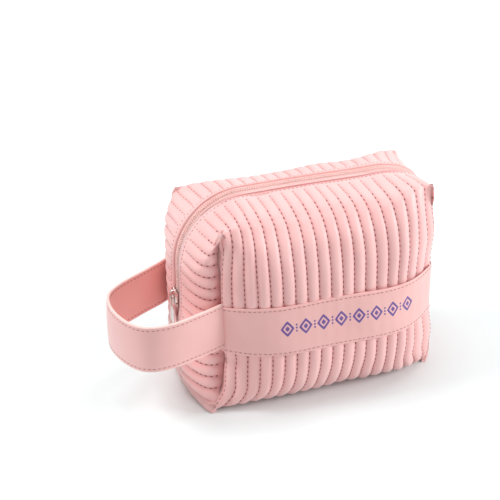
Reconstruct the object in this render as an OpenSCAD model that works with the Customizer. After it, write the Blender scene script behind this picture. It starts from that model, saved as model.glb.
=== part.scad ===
// Quilted boxy makeup bag with a zip over the top, a smooth band and a side hand strap.
// Millimetres. X runs along the bag, the front faces -Y, Z is up.
// The origin is the middle of the flat base, on the surface the bag stands on.

/* [Body] */
// Distance between the upright seams at the left and right of the front
body_w = 182; // [150:1:220]
// Distance between the front and the back upright seams
body_d = 96; // [80:1:120]
// Height of the zip line over the middle of the bag
body_h = 169; // [165:1:200]
// How far each end swells out past its upright seams
end_bulge = 23; // [15:1:32]
// How much less the right end swells out than the left one
end_slack = 6; // [0:1:8]
// How far the front and the back swell out past the upright seams
face_bulge = 22; // [12:1:30]
// Length of the flat base between its corner tips
base_l = 199; // [170:1:215]
// Corner radius of the zip line
zip_r = 56; // [40:1:64]
// Drop of the top corners below the zip line
shoulder_drop = 6; // [0:1:12]
// Corner radius of the pinched top corners
shoulder_r = 14; // [10:1:24]
// How far the pinched top corners stand out past the upright seams
shoulder_flare = 8; // [0:1:10]
// Radius of the fold along the ends of the base
base_r = 5; // [4:0.5:8]

/* [Layers] */
// Thickness of the outer leathercloth
skin_t = 1; // [0.8:0.1:1.4]
// Thickness of the quilting wadding
wadding_t = 2.2; // [1.5:0.1:3]
// Thickness of the lining
lining_t = 0.5; // [0.4:0.1:0.8]
// Gap between one layer and the next
layer_gap = 0.15; // [0.1:0.05:0.3]

/* [Band] */
// Height of the smooth band across the front and the back
band_w = 42; // [30:1:50]
// Height of the middle of the band above the base
band_z = 74; // [60:1:90]
// Thickness of the band
band_t = 1.1; // [0.8:0.1:1.5]

/* [Strap] */
// Width of the hand strap
strap_w = 40; // [30:1:44]
// Height of the middle of the strap above the base
strap_z = 77; // [70:1:85]
// Thickness of the strap's outer layer
strap_skin_t = 0.9; // [0.7:0.1:1.2]
// Thickness of the strap's filling
strap_core_t = 0.8; // [0.6:0.1:1.2]
// Thickness of the strap's inner layer
strap_inner_t = 0.7; // [0.6:0.1:1]
// Distance from the upright seams to the line where the strap flexes
strap_flex = 39; // [38:1:44]
// How far the strap stands out from the upright seams
strap_l = 80; // [70:1:90]
// How far the strap lifts, in degrees
strap_lift = 50; // [30:1:50]
// How far the strap drops, in degrees
strap_drop = 45; // [30:1:50]

/* [Zip] */
// Width of the joined coil
chain_w = 6; // [5:0.2:7]
// Thickness of the coil
chain_t = 1.9; // [1.6:0.1:2.4]
// How far the coil stands out past the edges of the panels
chain_proud = 0.6; // [0.3:0.1:1]
// Parting line between the two halves of the coil
chain_gap = 1.2; // [1:0.1:1.6]
// Width of each tape, from the middle of the zip
tape_w = 11; // [9:1:14]
// Thickness of the tape
tape_t = 0.6; // [0.4:0.1:0.8]
// Width of the slot between the two panels
slot_w = 11; // [9:0.5:14]
// Height at which the slot closes at the ends
slot_z = 62; // [50:1:68]
// Length of the slider
slider_l = 13.5; // [12:0.5:16]
// Width of the slider
slider_w = 9.6; // [9.2:0.2:12]
// Thickness of the slider's plates
slider_t = 1.2; // [1:0.1:1.5]
// Height of the middle of the slider above the base
slider_z = 85; // [82:1:90]
// Running clearance of the slider over the coil and the tape
slider_gap = 0.3; // [0.25:0.05:0.4]
// Length of the pull, from its pivot to its tip
pull_l = 27; // [20:1:30]
// Width of the pull
pull_w = 8; // [7:0.5:9]
// Thickness of the pull
pull_t = 1.4; // [1.2:0.1:1.6]

/* [Hidden] */
$fn = 48;

pink = [0.96, 0.76, 0.74];
pink_band = [0.94, 0.70, 0.69];
coral = [0.85, 0.50, 0.47];
cream = [0.97, 0.95, 0.92];
metal = [0.80, 0.76, 0.74];

// The plan of each end is a quarter superellipse with this exponent
end_power = 2.4;
// Exponents of the swelling of the front: its outline, and how fast it rises from the edge
face_outline_power = 8;
face_rise_power = 3.8;
// The zip line rises and the top edge of the front sags by these amounts in the middle
zip_crown = 3;
shoulder_sag = 8;
// The upright seams flare out to the corner tips over this height, the ends swell over this one
flare_h = 18;
swell_h = 75;
// Half length of the base in the middle of each end
base_mid = base_l/2 + 4;
// Height at which the front swells out most
face_mid_z = 0.36*(body_h - shoulder_drop);
seam_gap = 0.15;

// Points along half of the outline: base, fold, side, corner arc and top
base_n = 4;
fold_n = 2;
side_n = 8;
arc_n = 12;
top_n = 5;
half_n = base_n + fold_n + side_n + arc_n + top_n;
ring_n = 2*half_n;
// Rings from the rim to the upright seams, and from there to the middle of the face
end_rings = 6;
face_rings = 5;

function mix(a, b, t) = a + (b - a)*t;
function quarter_out(t) = pow(cos(t), 2/end_power);
function quarter_in(t) = pow(sin(t), 2/end_power);
function quarter_angle(share) = asin(pow(share, end_power/2));

// Sizes of the outline at swell c, from 0 at the upright seams to 1 at the zip
function out_half(c, inset) = mix(body_w/2, body_w/2 + end_bulge, c) - inset;
function out_shoulder(c, inset) = out_half(c, inset) + mix(shoulder_flare, 0, c);
function out_base(c, inset) = mix(base_l/2, base_mid, c) - inset;
function out_height(c, inset) = mix(body_h - shoulder_drop, body_h, c) - inset;
function out_radius(c, inset) = mix(shoulder_r, zip_r, c) - inset;
function out_crown(c) = mix(-shoulder_sag, zip_crown, c);

function fold_point(k, c, inset) =
    let (a = -90 + 90*k/fold_n)
    [out_base(c, inset) - base_r + base_r*cos(a), inset + base_r + base_r*sin(a)];

function side_high(c, inset) = out_height(c, inset) - out_radius(c, inset);

function side_x(z, c, inset) =
    let (up = (z - base_r - inset)/mix(flare_h, swell_h, c))
    let (left = pow(1 - min(max(up, 0), 1), 2))
    let (above = (z - body_h/2)/(side_high(c, inset) - body_h/2))
    let (rise = pow(min(max(above, 0), 1), 2))
    mix(out_half(c, inset), out_base(c, inset), left) + rise*mix(shoulder_flare, 0, c);

function side_point(k, c, inset) =
    let (z = mix(inset + base_r, side_high(c, inset), pow(k/side_n, 1.3)))
    [side_x(z, c, inset), z];

function crowned(x, z, c, inset) =
    [x, z + out_crown(c)*(1 - pow(x/out_shoulder(c, inset), 2))];

function arc_point(k, c, inset) =
    let (a = 90*k/arc_n, r = out_radius(c, inset))
    crowned(out_shoulder(c, inset) - r + r*cos(a), side_high(c, inset) + r*sin(a), c, inset);

function top_point(k, c, inset) =
    let (x = (out_shoulder(c, inset) - out_radius(c, inset))*(1 - k/top_n))
    crowned(x, out_height(c, inset), c, inset);

// Point i of the right half of the outline, from the middle of the base to the middle of the top
function half_point(i, c, inset) =
    i < base_n ? [(out_base(c, inset) - base_r)*i/base_n, inset]
    : i < base_n + fold_n ? fold_point(i - base_n, c, inset)
    : i < base_n + fold_n + side_n ? side_point(i - base_n - fold_n, c, inset)
    : i < half_n - top_n ? arc_point(i - base_n - fold_n - side_n, c, inset)
    : top_point(i - half_n + top_n, c, inset);

// The right end is slacker than the left one, most of all at half its height
function slack(z, c) =
    let (up = abs(2*z/(body_h - shoulder_r) - 1))
    [-end_slack*c*(1 - pow(min(up, 1), 4)), 0];

// All layers are as slack as the outer surface
function out_point(i, c, inset) =
    i <= half_n ? half_point(i, c, inset) + slack(half_point(i, c, 0)[1], c)
    : let (p = half_point(ring_n - i, c, inset)) [-p[0], p[1]];

// Depth of the front at x and z: it swells out past the upright seams
function face_depth(x, z, inset) =
    let (px = abs(x)/side_x(z, 0, inset))
    let (top = crowned(x, out_height(0, inset), 0, inset)[1])
    let (pz = z < face_mid_z ? (face_mid_z - z)/(face_mid_z - inset) : (z - face_mid_z)/(top - face_mid_z))
    let (r = pow(pow(px, face_outline_power) + pow(pz, face_outline_power), 1/face_outline_power))
    body_d/2 - inset + face_bulge*(1 - pow(min(r, 1), face_rise_power));

// Half width of the slot at height z, narrowing to a seam from the slot's low end
slot_taper = 12;
function rim_depth(z, half_slot, low) =
    mix(seam_gap, half_slot, min(max((z - low)/slot_taper, 0), 1));

// The layers share their rings, apart from the rims of their slots
function end_point(i, j, inset, half_slot, low) =
    let (rim = rim_depth(out_point(i, 1, inset)[1], half_slot, low))
    let (first = quarter_angle((inner_slot + 2)/(body_d/2)))
    let (t = j == 0 ? quarter_angle(rim/(body_d/2 - inset)) : mix(first, 90, (j - 1)/(end_rings - 1)))
    let (p = out_point(i, quarter_out(t), inset))
    [p[0], -(body_d/2 - inset)*quarter_in(t), p[1]];

function face_point(i, j, inset) =
    let (p = mix(out_point(i, 0, inset), [0, face_mid_z], pow(j/face_rings, 1.3)))
    [p[0], -face_depth(p[0], p[1], inset), p[1]];

// All points of one surface of the front half, ring by ring, then the middle of the face
function skin_points(inset, half_slot, low) = concat(
    [for (j = [0:end_rings], i = [0:ring_n - 1]) end_point(i, j, inset, half_slot, low)],
    [for (j = [1:face_rings - 1], i = [0:ring_n - 1]) face_point(i, j, inset)],
    [[0, -face_depth(0, face_mid_z, inset), face_mid_z]]
);

// One layer of the front half: a bowl between two surfaces
module half_layer(inset, thickness, half_slot, low) {
    rings = end_rings + face_rings;
    count = rings*ring_n + 1;
    outer = skin_points(inset, half_slot, low);
    inner = skin_points(inset + thickness, half_slot, low);
    quads = [for (j = [0:rings - 2], i = [0:ring_n - 1])
        [j*ring_n + i, j*ring_n + (i + 1)%ring_n, (j + 1)*ring_n + (i + 1)%ring_n, (j + 1)*ring_n + i]];
    outer_faces = concat(
        [for (q = quads) [q[0], q[1], q[2]]],
        [for (q = quads) [q[0], q[2], q[3]]],
        [for (i = [0:ring_n - 1]) [(rings - 1)*ring_n + i, (rings - 1)*ring_n + (i + 1)%ring_n, count - 1]]
    );
    inner_faces = [for (f = outer_faces) [f[0] + count, f[2] + count, f[1] + count]];
    rim_faces = concat(
        [for (i = [0:ring_n - 1]) [i, count + i, count + (i + 1)%ring_n]],
        [for (i = [0:ring_n - 1]) [i, count + (i + 1)%ring_n, (i + 1)%ring_n]]
    );
    polyhedron(concat(outer, inner), concat(outer_faces, inner_faces, rim_faces));
}

wadding_inset = skin_t + layer_gap;
lining_inset = wadding_inset + wadding_t + layer_gap;
bag_wall = lining_inset + lining_t;
// The wadding and the lining stop short of the zip tape
inner_slot = tape_w + 1;
tape_low = slot_z - 6;
side_step = (body_h - zip_r)/side_n;
inner_low = tape_low - slot_taper - side_step;

module front_panel() {
    color(pink) half_layer(0, skin_t, slot_w/2, slot_z);
}

module back_panel() {
    color(pink) mirror([0, 1, 0]) half_layer(0, skin_t, slot_w/2, slot_z);
}

module front_wadding() {
    color(cream) half_layer(wadding_inset, wadding_t, inner_slot, inner_low);
}

module back_wadding() {
    color(cream) mirror([0, 1, 0]) half_layer(wadding_inset, wadding_t, inner_slot, inner_low);
}

module front_lining() {
    color(coral) half_layer(lining_inset, lining_t, inner_slot, inner_low);
}

module back_lining() {
    color(coral) mirror([0, 1, 0]) half_layer(lining_inset, lining_t, inner_slot, inner_low);
}

// Smooth band laid over the quilting from one upright seam to the other
band_cols = 26;
band_rows = 4;

function band_point(i, j, proud) =
    let (z = band_z + band_w*(j/band_rows - 0.5))
    let (x = (body_w/2 - 0.5)*sin(90*(2*i/band_cols - 1)))
    [x, -face_depth(x, z, 0) - proud, z];

module band() {
    cols = band_cols + 1;
    count = cols*(band_rows + 1);
    outer = [for (j = [0:band_rows], i = [0:band_cols]) band_point(i, j, layer_gap + band_t)];
    inner = [for (j = [0:band_rows], i = [0:band_cols]) band_point(i, j, layer_gap)];
    quads = [for (j = [0:band_rows - 1], i = [0:band_cols - 1])
        [j*cols + i, (j + 1)*cols + i, (j + 1)*cols + i + 1, j*cols + i + 1]];
    skin = concat([for (q = quads) [q[0], q[1], q[2]]], [for (q = quads) [q[0], q[2], q[3]]]);
    back = [for (f = skin) [f[0] + count, f[2] + count, f[1] + count]];
    edge = concat(
        [for (i = [0:band_cols]) i],
        [for (j = [1:band_rows]) j*cols + band_cols],
        [for (i = [1:band_cols]) band_rows*cols + band_cols - i],
        [for (j = [1:band_rows - 1]) (band_rows - j)*cols]
    );
    n = len(edge);
    rim = concat(
        [for (k = [0:n - 1]) [edge[k], edge[(k + 1)%n], edge[k] + count]],
        [for (k = [0:n - 1]) [edge[(k + 1)%n], edge[(k + 1)%n] + count, edge[k] + count]]
    );
    polyhedron(concat(outer, inner), concat(skin, back, rim));
}

module front_band() {
    color(pink_band) band();
}

module back_band() {
    color(pink_band) mirror([0, 1, 0]) band();
}

// Plan of the strap's middle line, from the front seam round to the back seam. The points between
// are shares of its length: how far out, and how far past the front seam or short of the back one.
strap_t = strap_skin_t + strap_core_t + strap_inner_t;
seam_x = -body_w/2;
strap_root = [-2, body_d/2 + strap_t/2 + 0.4];
strap_front = [[0.275, 0.125], [0.5625, 0.2], [0.8, 0.1625], [0.9375, -0.0375], [1, -0.35]];
strap_back = [[0.9625, 0.56], [0.8, 0.385], [0.55, 0.24], [0.3125, 0.1125], [0.1625, 0.0125]];
strap_plan = concat(
    [[strap_root[0], -strap_root[1]]],
    [for (p = strap_front) [-p[0]*strap_l, -body_d/2 - p[1]*strap_l]],
    [for (p = strap_back) [-p[0]*strap_l, body_d/2 - p[1]*strap_l]],
    [strap_root]
);
strap_steps = 5;
strap_last = len(strap_plan) - 1;

function strap_knot(k) =
    k < 0 ? 2*strap_plan[0] - strap_plan[1]
    : k > strap_last ? 2*strap_plan[strap_last] - strap_plan[strap_last - 1]
    : strap_plan[k];

// Smooth curve through the plan's points
function strap_curve(s) =
    let (k = min(floor(s), strap_last - 1))
    let (t = s - k, a = strap_knot(k - 1), b = strap_knot(k), c = strap_knot(k + 1), d = strap_knot(k + 2))
    0.5*(2*b + t*(c - a) + t*t*(2*a - 5*b + 4*c - d) + t*t*t*(3*b - a - 3*c + d));

function strap_offset(s, side) =
    let (e = 0.01, v = strap_curve(s + e) - strap_curve(s - e))
    strap_curve(s) + side*[-v[1], v[0]]/norm(v);

// A strip of the strap between two distances from its middle line, outwards positive
module strap_strip(from, to) {
    steps = strap_last*strap_steps;
    ring = concat(
        [for (k = [0:steps]) strap_offset(k/strap_steps, to)],
        [for (k = [0:steps]) strap_offset((steps - k)/strap_steps, from)]
    );
    translate([seam_x, 0, strap_z - strap_w/2]) linear_extrude(strap_w) polygon(ring);
}

strap_pivot_x = seam_x - strap_flex;
strap_reach = 2*body_d;

module at_strap_pivot() {
    translate([strap_pivot_x, 0, strap_z]) rotate([90, 0, 0]) children();
}

// The moving loop ends in round ends about the line where the strap flexes
module strap_loop_zone() {
    at_strap_pivot() cylinder(r = strap_w/2, h = strap_reach, center = true, $fn = 96);
    translate([strap_pivot_x - body_w, -strap_reach/2, strap_z - strap_w/2 - 1])
        cube([body_w, strap_reach, strap_w + 2]);
}

module strap_layer(from, to) {
    intersection() {
        strap_strip(from, to);
        strap_loop_zone();
    }
}

strap_out = strap_t/2;
strap_mid_out = strap_out - strap_skin_t;
strap_mid_in = strap_mid_out - strap_core_t;

module strap_outer() {
    color(pink_band) strap_layer(strap_mid_out, strap_out);
}

module strap_padding() {
    color(cream) strap_layer(strap_mid_in, strap_mid_out);
}

module strap_lining() {
    color(coral) strap_layer(-strap_out, strap_mid_in);
}

// The strap's sewn ends stay with the bag: they clear the loop at every angle
flex_gap = 0.4;

module strap_end(side) {
    color(pink_band) difference() {
        strap_strip(-strap_out, strap_out);
        translate([strap_pivot_x - body_w, -strap_reach/2, 0]) cube([body_w, strap_reach, body_h]);
        translate([strap_pivot_x - 1, side > 0 ? -strap_reach : 0, 0]) cube([body_w, strap_reach, body_h]);
        at_strap_pivot() cylinder(r = strap_w/2 + flex_gap, h = strap_reach, center = true, $fn = 96);
        for (turn = [-strap_lift - 2, strap_drop + 2])
            at_strap_pivot() rotate([0, 0, turn])
                translate([-body_w, -strap_w/2 - flex_gap, -strap_reach/2])
                    cube([body_w, strap_w + 2*flex_gap, strap_reach]);
    }
}

module strap_end_front() {
    strap_end(-1);
}

module strap_end_back() {
    strap_end(1);
}

// Outline of the zip, as a strip between two depths under the outer surface
tape_gap = 0.3;
tape_inset = chain_t - chain_proud + tape_gap;
zip_steps = 40;

// Distance along half of the zip line: side, arc and top, each with its share of the steps
function zip_half(k, low, inset) =
    let (side = 8, arc = 20, top = 12)
    k <= side ? let (z = mix(low, side_high(1, inset), k/side)) [side_x(z, 1, inset), z]
    : k <= side + arc ? let (a = 90*(k - side)/arc, r = out_radius(1, inset))
        crowned(out_half(1, inset) - r + r*cos(a), side_high(1, inset) + r*sin(a), 1, inset)
    : let (x = (out_half(1, inset) - out_radius(1, inset))*(1 - (k - side - arc)/top))
        crowned(x, out_height(1, inset), 1, inset);

function zip_line(low_left, low_right, inset) = concat(
    [for (k = [0:zip_steps]) zip_half(k, low_right, inset) + slack(zip_half(k, low_right, 0)[1], 1)],
    [for (k = [1:zip_steps]) let (p = zip_half(zip_steps - k, low_left, inset)) [-p[0], p[1]]]
);

module zip_strip(low_left, low_right, inset, thickness, y0, y1) {
    outer = zip_line(low_left, low_right, inset);
    inner = zip_line(low_left, low_right, inset + thickness);
    ring = concat(outer, [for (k = [1:len(inner)]) inner[len(inner) - k]]);
    translate([0, y1, 0]) rotate([90, 0, 0]) linear_extrude(y1 - y0) polygon(ring);
}

slider_low = slider_z - slider_l/2;
stop_h = 3;
stop_gap = 0.5;
stop_z = slider_low - stop_gap - stop_h;
// The coil reaches the top stops on the left and the bottom stop on the right
coil_low_left = stop_z + stop_h;
coil_low_right = slot_z + slot_taper + 2;

module zip_tape(side) {
    y = [side*chain_gap/2, side*tape_w];
    color(pink_band)
        zip_strip(tape_low, tape_low, tape_inset, tape_t, min(y), max(y));
}

module zip_tape_front() {
    zip_tape(-1);
}

module zip_tape_back() {
    zip_tape(1);
}

module zip_coil(side) {
    y = [side*chain_gap/2, side*chain_w/2];
    color(pink)
        zip_strip(coil_low_left, coil_low_right, -chain_proud, chain_t, min(y), max(y));
}

module zip_coil_front() {
    zip_coil(-1);
}

module zip_coil_back() {
    zip_coil(1);
}

// Face of the bag's left end at the slider
slider_face = -(side_x(slider_z, 1, 0) + chain_proud);

module zip_top_stops() {
    color(metal)
        for (side = [-1, 1])
            translate([slider_face, side*(chain_gap + chain_w)/4, stop_z + stop_h/2])
                translate([(chain_t)/2, 0, 0])
                    cube([chain_t, (chain_w - chain_gap)/2, stop_h - 0.1], center = true);
}

module zip_bottom_stop() {
    z = coil_low_right - stop_h/2;
    color(metal)
        translate([side_x(z, 1, 0) + slack(z, 1)[0] + chain_proud - chain_t/2, 0, z])
            cube([chain_t, chain_w, stop_h - 0.1], center = true);
}

// The slider: two plates, side lips and a thin wall that parts the coil
plate_out = slider_face - slider_gap - slider_t;
plate_in = slider_face + chain_t + tape_gap + tape_t + slider_gap;
lip_w = (slider_w - chain_w)/2 - slider_gap;
lip_h = chain_t + slider_gap - 0.2;

module slider_body() {
    color(metal) difference() {
        union() {
            translate([plate_out, -slider_w/2, slider_low]) cube([slider_t, slider_w, slider_l]);
            translate([plate_in, -slider_w/2, slider_low + 1]) cube([slider_t, slider_w, slider_l - 2]);
            for (side = [-1, 1])
                translate([plate_out, side*(slider_w - lip_w)/2 - lip_w/2, slider_low])
                    cube([slider_t + lip_h, lip_w, slider_l]);
            translate([plate_out, -(chain_gap/2 - 0.15), slider_low + 1.5])
                cube([plate_in - plate_out + slider_t, chain_gap - 0.3, slider_l/2 - 1.5]);
        }
        for (side = [-1, 1])
            translate([plate_out - 1, side*slider_w/2, slider_low])
                rotate([0, 90, 0]) rotate([0, 0, 45])
                    cube([3, 3, 20], center = true);
    }
}

// The bridge over the slider that carries the pull
bridge_w = 2;
bridge_l = 10;
bridge_bar = 1;
bridge_h = 2.6;

module slider_bridge() {
    color(metal) difference() {
        translate([plate_out - bridge_h - bridge_bar, -bridge_w/2, slider_z - bridge_l/2])
            cube([bridge_h + bridge_bar, bridge_w, bridge_l]);
        translate([plate_out - bridge_h, -bridge_w, slider_z - bridge_l/2 + 1.4])
            cube([bridge_h + 1, 2*bridge_w, bridge_l - 2.8]);
    }
}

// The pull turns about a round bar under the bridge
pull_bar_r = 0.8;
pull_x = plate_out - bridge_h/2;
pull_window = bridge_l/2 + 1.4;
pull_eye_w = bridge_w + 1.2;

module zip_pull() {
    color(metal) translate([pull_x, 0, slider_z]) {
        rotate([90, 0, 0]) cylinder(r = pull_bar_r, h = pull_eye_w + 2, center = true);
        for (side = [-1, 1])
            translate([-pull_t/2, side*(pull_eye_w + 1)/2 - 0.6, -pull_window - 0.5])
                cube([pull_t, 1.2, pull_window + 0.5]);
        translate([0, 0, -pull_window]) rotate([0, 90, 0]) linear_extrude(pull_t, center = true)
            polygon([[0, -pull_eye_w/2 - 1.1], [0, pull_eye_w/2 + 1.1], [3, pull_w/2],
                [pull_l - pull_window - 2, pull_w/2], [pull_l - pull_window, pull_w/2 - 2],
                [pull_l - pull_window, -pull_w/2 + 2], [pull_l - pull_window - 2, -pull_w/2],
                [3, -pull_w/2]]);
    }
}

// Bindings over the raw seams inside the bag
binding_t = 1.2;
binding_w = 7;
binding_inset = bag_wall + 0.3;
// The middle of each binding lies this far in from its seam
binding_set = 2.5;

module corner_bindings() {
    low = binding_inset + base_r + flare_h;
    high = body_h - shoulder_drop - shoulder_r - binding_inset;
    color(coral)
        for (sx = [-1, 1], sy = [-1, 1])
            translate([sx*(body_w/2 - binding_inset - binding_set), sy*(body_d/2 - binding_inset - binding_t/2), low])
                translate([-binding_w/2, -binding_t/2, 0]) cube([binding_w, binding_t, high - low]);
}

module base_binding() {
    color(coral)
        translate([-base_l/2 + 12, -binding_w/2, binding_inset])
            cube([base_l - 24, binding_w, binding_t]);
}

front_panel();
back_panel();
front_wadding();
back_wadding();
front_lining();
back_lining();
front_band();
back_band();
strap_end_front();
strap_end_back();
strap_outer();
strap_padding();
strap_lining();
zip_tape_front();
zip_tape_back();
zip_coil_front();
zip_coil_back();
zip_top_stops();
zip_bottom_stop();
slider_body();
slider_bridge();
zip_pull();
corner_bindings();
base_binding();
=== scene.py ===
import math
from functools import lru_cache

import bpy
import numpy as np
from mathutils import Matrix, Vector


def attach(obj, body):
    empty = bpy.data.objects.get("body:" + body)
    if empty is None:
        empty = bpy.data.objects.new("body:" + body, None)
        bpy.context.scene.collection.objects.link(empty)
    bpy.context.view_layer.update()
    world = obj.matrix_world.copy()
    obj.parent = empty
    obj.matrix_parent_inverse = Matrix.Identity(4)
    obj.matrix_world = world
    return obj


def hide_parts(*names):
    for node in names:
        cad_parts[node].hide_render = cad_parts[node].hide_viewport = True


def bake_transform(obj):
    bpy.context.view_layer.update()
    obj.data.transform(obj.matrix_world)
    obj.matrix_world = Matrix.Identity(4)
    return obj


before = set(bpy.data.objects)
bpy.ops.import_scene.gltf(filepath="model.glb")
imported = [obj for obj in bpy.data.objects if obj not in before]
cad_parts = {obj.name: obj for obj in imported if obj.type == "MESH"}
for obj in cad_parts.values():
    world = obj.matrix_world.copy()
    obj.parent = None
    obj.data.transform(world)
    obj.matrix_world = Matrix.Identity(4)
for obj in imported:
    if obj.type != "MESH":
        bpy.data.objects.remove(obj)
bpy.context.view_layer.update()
scene = bpy.context.scene

# ---------------------------------------------------------------- the bag's shape, in millimetres
# The same outline as the CAD source: c runs from 0 at the upright seams to 1 at the zip.
HALF_W, HALF_D, HEIGHT = 91.0, 48.0, 169.0
END_BULGE, END_SLACK, FACE_BULGE = 23.0, 6.0, 22.0
END_POWER, OUTLINE_POWER, RISE_POWER = 2.4, 8.0, 3.8
FACE_MID = 0.36 * (HEIGHT - 6)
BOX_SEAM = 7.5  # height of the seam along the foot of each end
HALVES = ((-1, "front"), (1, "back"))  # the side of y and its name
STEM = 190.0  # width of the front between the upright seams, along its curve
WING = 152.5  # length of each end, from the corner down to its foot
RIB = 10.0  # spacing of the quilting lines
FIRST_LINE = 10.4  # distance of the first line from the left seam
LINES = 18
LIP_Y = 5.7  # distance of the panel's edge from the middle of the zip
LIP_STITCH = 4.6  # distance of the stitch row from that edge


def mix(a, b, t):
    return a + (b - a) * t


def clamp(x, low=0.0, high=1.0):
    return np.clip(x, low, high)


def smooth(x):
    x = clamp(x)
    return x * x * (3 - 2 * x)


def out_half(c):
    return mix(HALF_W, HALF_W + END_BULGE, c)


def out_shoulder(c):
    return out_half(c) + mix(8.0, 0.0, c)


def base_half(c):
    return mix(99.5, 103.5, c)


def out_height(c):
    return mix(HEIGHT - 6, HEIGHT, c)


def out_radius(c):
    return mix(14.0, 56.0, c)


def side_high(c):
    return out_height(c) - out_radius(c)


def side_x(z, c):
    left = (1 - clamp((z - 5) / mix(18.0, 75.0, c))) ** 2
    rise = clamp((z - HEIGHT / 2) / (side_high(c) - HEIGHT / 2)) ** 2
    return mix(out_half(c), base_half(c), left) + rise * mix(8.0, 0.0, c)


def crowned(x, z, c):
    return z + mix(-8.0, 3.0, c) * (1 - (x / out_shoulder(c)) ** 2)


def slack(z, c):
    """How much less the right end swells out than the left one, most of all beside its seams"""
    y = (1 - clamp(c) ** END_POWER) ** (1 / END_POWER)
    slim = (END_BULGE - END_SLACK) * np.maximum(c - 1 + y**1.55, 0)
    up = np.minimum(abs(2 * z / (HEIGHT - 14) - 1), 1)
    return END_SLACK * c * (1 - up**4) + slim * (1 - up**10)


def swell(y):
    """Swell of the ends at distance y from the middle plane"""
    return (1 - clamp(abs(y) / HALF_D) ** END_POWER) ** (1 / END_POWER)


def run_length(path):
    """Distance along a path, at each of its points"""
    return np.concatenate([[0], np.cumsum(np.linalg.norm(np.diff(path, axis=0), axis=1))])


@lru_cache(maxsize=None)
def ring(c, inset=0.0):
    """Half of the outline, from the middle of the top down to the foot seam: distance, x and z"""
    r = out_radius(c)
    a = np.radians(np.linspace(90, 0, 48))
    flat = np.linspace(0, out_shoulder(c) - r, 30)[:-1]
    x = np.concatenate([flat, out_shoulder(c) - r + r * np.cos(a)])
    z = crowned(x, np.concatenate([np.full(29, out_height(c)), side_high(c) + r * np.sin(a)]), c)
    zs = np.linspace(side_high(c), BOX_SEAM, 60)[1:]
    x, z = np.concatenate([x, side_x(zs, c)]), np.concatenate([z, zs])
    s = run_length(np.stack([x, z], -1))
    if inset:
        dx, dz = np.gradient(x, s), np.gradient(z, s)
        x, z = x + inset * dz, z - inset * dx
    return s, x, z


def on_ring(c, s, inset=0.0):
    """x and z on the outline at distance s from the middle of the top, to the left below 0"""
    d, x, z = ring(round(float(c), 4), inset)
    s = np.asarray(s, float)
    x, z = np.interp(abs(s), d, x), np.interp(abs(s), d, z)
    return np.where(s > 0, x - slack(z, c), -x), z


def stem_end(c, side):
    """Distance from the top's middle to the line where an end panel begins"""
    turn = mix(45.0, 41.3 if side < 0 else 34.4, c)
    return out_shoulder(c) - out_radius(c) + out_radius(c) * math.radians(turn)


def edge_x(z):
    """Half width of the front at height z, round its top corners too"""
    a = np.radians(np.linspace(0, 90, 40))
    x = 85 + 14 * np.cos(a)
    top = crowned(x, 149 + 14 * np.sin(a), 0.0)
    return np.where(z < 149, side_x(z, 0.0), np.interp(z, top, x))


def face_depth(x, z):
    """Distance of the front from the middle plane"""
    px = abs(x) / np.maximum(side_x(z, 0.0), 1)
    top = crowned(x, out_height(0.0), 0.0)
    pz = np.where(z < FACE_MID, (FACE_MID - z) / FACE_MID, (z - FACE_MID) / (top - FACE_MID))
    r = (px**OUTLINE_POWER + clamp(pz, 0, 2) ** OUTLINE_POWER) ** (1 / OUTLINE_POWER)
    # the band ties the front in a little at its upper edge, and the front swells out under it
    tie = 1.6 * np.exp(-(((z - 48) / 22) ** 2)) - 2.8 * np.exp(-(((z - 100) / 26) ** 2))
    return HALF_D + FACE_BULGE * (1 - np.minimum(r, 1) ** RISE_POWER) + tie * (1 - clamp(px) ** 4)


@lru_cache(maxsize=None)
def face_curve():
    """The front's fullest curve across: share of its length, and share of the half width"""
    share = np.linspace(-1, 1, 801)
    x = share * side_x(FACE_MID, 0.0)
    s = run_length(np.stack([x, face_depth(x, np.full(len(x), FACE_MID))], -1))
    return s / s[-1], share


def share_x(f):
    """Share of the half width at share f of the front's curved width"""
    return np.interp(f, *face_curve())


def waves(p, size, seed, count=7):
    """Smooth noise, mostly from -1 to 1"""
    rng = np.random.RandomState(seed)
    total = np.zeros(len(p))
    for _ in range(count):
        d = rng.normal(size=3)
        turns = p @ (d / np.linalg.norm(d)) * (2 * np.pi / size) * rng.uniform(0.6, 1.4)
        total += np.sin(turns + rng.uniform(0, 6.3))
    return total / math.sqrt(count)


# ---------------------------------------------------------------- mesh helpers
def make_mesh(name, points, faces, materials, body="bag", slots=None, attributes=None):
    """An object from points in millimetres"""
    mesh = bpy.data.meshes.new(name)
    mesh.from_pydata((np.asarray(points, float) * 0.001).tolist(), [], [list(map(int, f)) for f in faces])
    for material in materials if isinstance(materials, (list, tuple)) else [materials]:
        mesh.materials.append(material)
    mesh.polygons.foreach_set("use_smooth", [True] * len(mesh.polygons))
    if slots is not None:
        mesh.polygons.foreach_set("material_index", np.asarray(slots, np.int32))
    for key, values in (attributes or {}).items():
        attribute = mesh.attributes.new(key, "FLOAT", "POINT")
        attribute.data.foreach_set("value", np.asarray(values, np.float32))
    mesh.update()
    obj = bpy.data.objects.new(name, mesh)
    scene.collection.objects.link(obj)
    if body:
        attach(obj, body)
    return obj


def grid_faces(rows, cols, start=0, flip=False, wrap=False):
    r, c = np.meshgrid(np.arange(rows - 1), np.arange(cols if wrap else cols - 1), indexing="ij")
    a = start + r * cols + c
    b = start + r * cols + (c + 1) % cols
    q = np.stack([a, b, b + cols, a + cols], -1).reshape(-1, 4)
    return q[:, ::-1] if flip else q


def tube_faces(rings, sides):
    """Faces of a closed tube, with its two end caps"""
    last = (rings - 1) * sides
    walls = [list(q) for q in grid_faces(rings, sides, wrap=True)]
    return walls + [list(range(sides - 1, -1, -1)), list(range(last, last + sides))]


def circle(sides):
    return np.arange(sides) * 2 * np.pi / sides


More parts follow.
